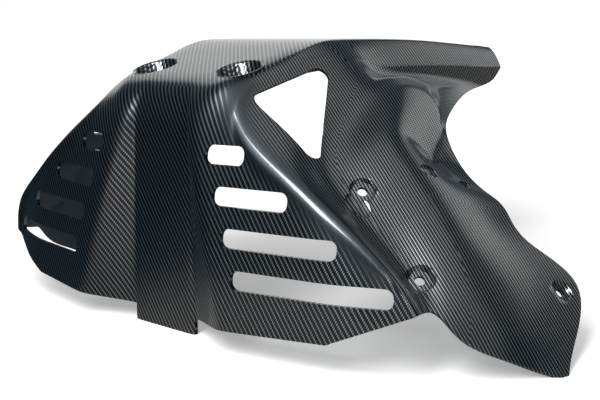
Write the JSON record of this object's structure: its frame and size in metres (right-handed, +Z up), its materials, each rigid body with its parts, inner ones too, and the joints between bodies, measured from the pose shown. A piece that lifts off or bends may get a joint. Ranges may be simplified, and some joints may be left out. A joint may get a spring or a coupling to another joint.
{
  "type": "motorcycle skid plate",
  "caption": "Moulded carbon-fibre shell that wraps under a motorcycle's engine, with a slotted front, windowed sides and a larger cover on the right.",
  "frame": {"origin": "on the ground, below the middle of the plate's box, as it stands belly up", "axes": "+X towards the bike's rear, +Y towards the bike's left side, +Z up out of the belly"},
  "size_m": [0.3677, 0.4661, 0.2005],
  "materials": {
    "laminate": "clear-coated carbon-fibre twill"
  },
  "bodies": {
    "root": {"skid_plate": "laminate"}
  },
  "joints": []
}
